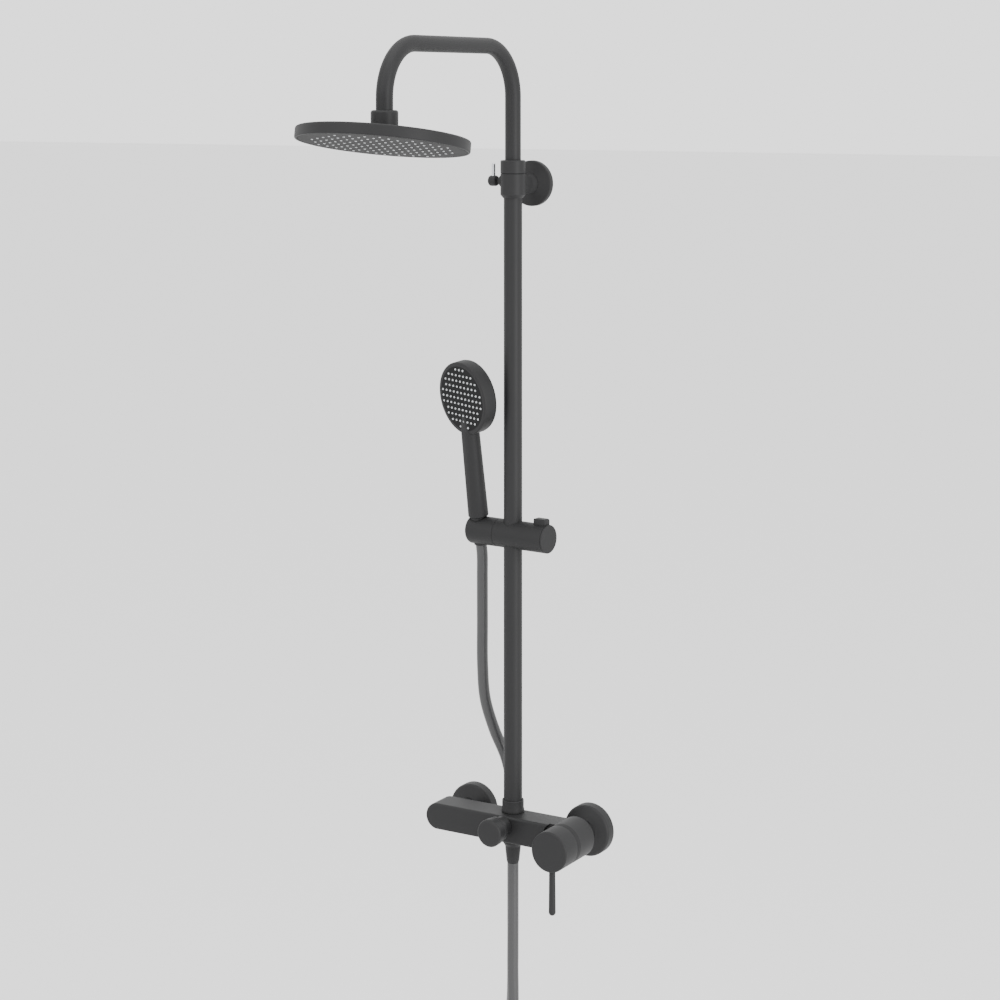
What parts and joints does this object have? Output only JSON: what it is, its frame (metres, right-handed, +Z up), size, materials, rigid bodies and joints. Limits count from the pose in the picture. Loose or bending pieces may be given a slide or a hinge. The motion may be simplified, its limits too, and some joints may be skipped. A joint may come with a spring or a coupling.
{
  "type": "rainfall shower column",
  "caption": "Wall-mounted shower column: bar mixer with lever and diverter, telescopic riser with round overhead shower, sliding holder with round handset and a looping hose.",
  "frame": {"origin": "on the wall plane, midway between the two water inlets", "axes": "+Z up along the column, +Y into the wall, +X to the right as the user faces the wall"},
  "size_m": [0.22, 0.4508, 1.4841],
  "materials": {
    "black_metal": "matte black powder coat",
    "black_plastic": "matte black",
    "hose_cover": "satin black, smooth flexible hose",
    "bright_pin": "polished",
    "brass": "plain machined",
    "steel": "plain",
    "seal_rubber": "matte",
    "nozzle_rubber": "pale grey silicone",
    "white_plastic": "natural acetal"
  },
  "bodies": {
    "fixed": {"left_wall_flange": "black_metal", "right_wall_flange": "black_metal", "left_union_nut": "black_metal", "right_union_nut": "black_metal", "mixer_body": "black_metal", "cartridge_cover": "black_metal", "diverter_bonnet": "black_metal", "column_nut": "black_metal", "lower_tube": "black_metal", "bracket_clamp": "black_metal", "bracket_top_ring": "black_metal", "bracket_wall_plate": "black_metal", "hose_lower_nut": "black_metal", "left_wall_union": "brass", "right_wall_union": "brass", "cartridge_nut": "brass", "bracket_base": "steel", "bracket_stud": "steel", "left_inlet_washer": "seal_rubber", "right_inlet_washer": "seal_rubber", "riser_seal": "seal_rubber", "cartridge_body": "white_plastic", "check_valve": "white_plastic", "hose": "hose_cover"},
    "riser_carriage": {"riser_foot_bush": "white_plastic"},
    "riser": {"riser_tube": "black_metal", "head_collar": "black_metal", "head_ball_seal": "seal_rubber"},
    "head_ball_joint": {"head_ball": "brass"},
    "head": {"head_shell": "black_plastic", "head_face": "black_plastic", "head_nozzle_mat": "nozzle_rubber"},
    "lock": {"lock_screw": "black_metal", "lock_pin": "bright_pin"},
    "slider_ring": {"slider_liner": "white_plastic"},
    "slider": {"slider_housing": "black_plastic", "slider_end_cap": "black_plastic", "slider_brake_pad": "white_plastic", "slider_spring": "steel", "cradle_axle": "steel"},
    "release": {"release_tab": "black_plastic"},
    "cradle": {"cradle": "black_plastic"},
    "hose_nut": {"hose_cone_nut": "black_metal"},
    "handset": {"handset_body": "black_plastic", "handset_face": "black_plastic", "handset_nozzle_mat": "nozzle_rubber", "handset_washer": "seal_rubber"},
    "lever_carrier": {"cartridge_carrier": "white_plastic"},
    "lever": {"cartridge_stem": "steel", "lever_cap": "black_metal", "lever_pin": "black_metal", "lever_grub_screw": "steel"},
    "diverter": {"diverter_spindle": "brass", "diverter_knob": "black_metal"}
  },
  "joints": [
    {"name": "riser_slide", "type": "slide", "parent": "fixed", "child": "riser_carriage", "axis": [0, 0, 1], "range_m": [-0.05, 0.2]},
    {"name": "riser_turn", "type": "hinge", "parent": "riser_carriage", "child": "riser", "pos_m": [0, -0.0485, 0.47], "axis": [0, 0, 1], "range_deg": [-60, 60]},
    {"name": "head_tilt", "type": "hinge", "parent": "riser", "child": "head_ball_joint", "pos_m": [0, -0.322, 0.842], "axis": [1, 0, 0], "range_deg": [-5.7, 24.3]},
    {"name": "head_spin", "type": "hinge", "parent": "head_ball_joint", "child": "head", "pos_m": [0, -0.322, 0.842], "axis": [0, 0.1616, 0.9869], "continuous": true},
    {"name": "lock_turn", "type": "hinge", "parent": "fixed", "child": "lock", "pos_m": [-0.027, -0.0485, 0.769], "axis": [1, 0, 0], "range_deg": [-90, 90]},
    {"name": "slider_slide", "type": "slide", "parent": "fixed", "child": "slider_ring", "axis": [0, 0, 1], "range_m": [-0.2, 0.12], "deforming": ["hose"]},
    {"name": "slider_turn", "type": "hinge", "parent": "slider_ring", "child": "slider", "pos_m": [0, -0.0485, 0.349], "axis": [0, 0, 1], "range_deg": [-25, 30], "deforming": ["hose"]},
    {"name": "release_press", "type": "slide", "parent": "slider", "child": "release", "axis": [0, 0, -1], "range_m": [0, 0.0022], "stiffness_N_per_m": 900, "springref_m": -0.001},
    {"name": "cradle_tilt", "type": "hinge", "parent": "slider", "child": "cradle", "pos_m": [0, -0.0485, 0.349], "axis": [0.9962, -0.0872, 0], "range_deg": [-2, 35], "deforming": ["hose"]},
    {"name": "handset_lift", "type": "slide", "parent": "cradle", "child": "hose_nut", "axis": [-0.0136, -0.1558, 0.9877], "range_m": [0, 0.06], "deforming": ["hose"]},
    {"name": "handset_turn", "type": "hinge", "parent": "hose_nut", "child": "handset", "pos_m": [-0.0488, -0.0442, 0.349], "axis": [-0.0136, -0.1558, 0.9877], "range_deg": [-70, 5]},
    {"name": "lever_turn", "type": "hinge", "parent": "fixed", "child": "lever_carrier", "pos_m": [0.08, -0.066, 0], "axis": [0, 1, 0], "range_deg": [-50, 50]},
    {"name": "lever_lift", "type": "hinge", "parent": "lever_carrier", "child": "lever", "pos_m": [0.08, -0.066, 0], "axis": [1, 0, 0], "range_deg": [-20, 0]},
    {"name": "diverter_turn", "type": "hinge", "parent": "fixed", "child": "diverter", "pos_m": [0, -0.09, 0.0085], "axis": [0, 1, 0], "range_deg": [-45, 45]}
  ]
}
